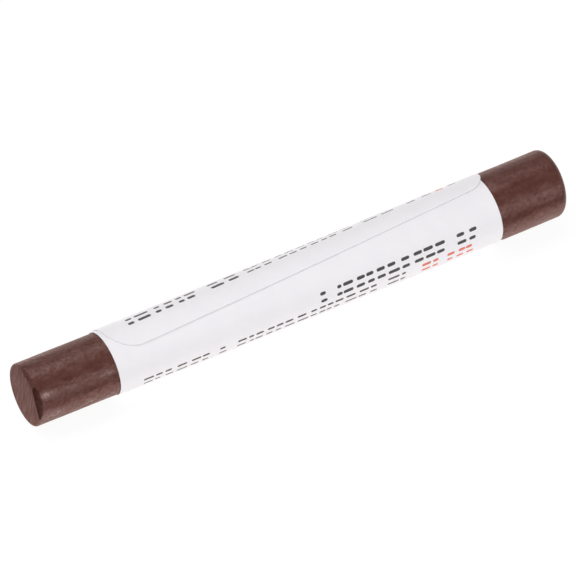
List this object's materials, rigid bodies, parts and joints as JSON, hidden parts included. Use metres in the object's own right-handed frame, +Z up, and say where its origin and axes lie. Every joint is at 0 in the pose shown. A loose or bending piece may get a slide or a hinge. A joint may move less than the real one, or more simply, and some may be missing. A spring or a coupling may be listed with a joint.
{
  "type": "wax filler stick",
  "caption": "Round, slightly tapered stick of hard brown wax for filling scratches in wood, with a self-adhesive paper label wound round its middle.",
  "frame": {"origin": "centre of the lying stick's bounding box, on the surface it lies on", "axes": "+X along the stick from its narrow cut end to its thick moulded end, +Z up, as the stick lies on its side"},
  "size_m": [0.09, 0.0106, 0.0108],
  "materials": {
    "wax": "semi-matt hard wax, reddish brown",
    "label_paper": "smooth white label paper with a slight sheen",
    "adhesive": "thin clear-cream adhesive film, seen only at its edges"
  },
  "bodies": {
    "root": {"wax_stick": "wax", "paper_label": "label_paper", "label_adhesive": "adhesive"}
  },
  "joints": []
}
